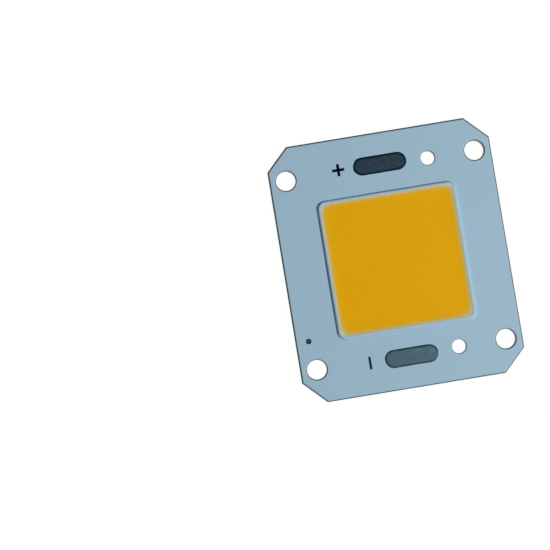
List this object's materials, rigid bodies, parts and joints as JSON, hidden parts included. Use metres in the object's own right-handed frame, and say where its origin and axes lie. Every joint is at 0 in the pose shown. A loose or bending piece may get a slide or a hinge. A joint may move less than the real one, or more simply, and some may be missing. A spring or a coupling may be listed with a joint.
{
  "type": "chip-on-board light-emitting diode module",
  "caption": "Flat light source: rows of bare dies under an amber phosphor square, ringed by a silicone dam, on an aluminium board with solder pads and mounting holes.",
  "frame": {"origin": "centre of the plate's back face, which lies on the heat sink", "axes": "+X across the board, towards the lead holes' side; +Y along the board, towards the positive pad; +Z out of the lit face"},
  "size_m": [0.04, 0.046, 0.0018],
  "materials": {
    "plate": "brushed back, punched edges",
    "laminate": "satin pale blue-grey coat on insulating laminate",
    "copper": "bare copper track, plated where wires are bonded",
    "solder": "tinned, smooth and dark with reflections",
    "dam": "cured silicone bead, slightly see-through and glossy",
    "phosphor": "phosphor in silicone, fine-grained satin",
    "die": "polished crystal",
    "gold": "drawn gold wire"
  },
  "bodies": {
    "root": {"base_plate": "plate", "circuit_laminate": "laminate", "positive_track": "copper", "negative_track": "copper", "positive_pad": "solder", "negative_pad": "solder", "temperature_spot": "solder", "silicone_dam": "dam", "phosphor_layer": "phosphor", "die_string_01": "die", "die_string_02": "die", "die_string_03": "die", "die_string_04": "die", "die_string_05": "die", "die_string_06": "die", "die_string_07": "die", "die_string_08": "die", "die_string_09": "die", "die_string_10": "die", "die_string_11": "die", "die_string_12": "die", "wire_string_01": "gold", "wire_string_02": "gold", "wire_string_03": "gold", "wire_string_04": "gold", "wire_string_05": "gold", "wire_string_06": "gold", "wire_string_07": "gold", "wire_string_08": "gold", "wire_string_09": "gold", "wire_string_10": "gold", "wire_string_11": "gold", "wire_string_12": "gold"}
  },
  "joints": []
}
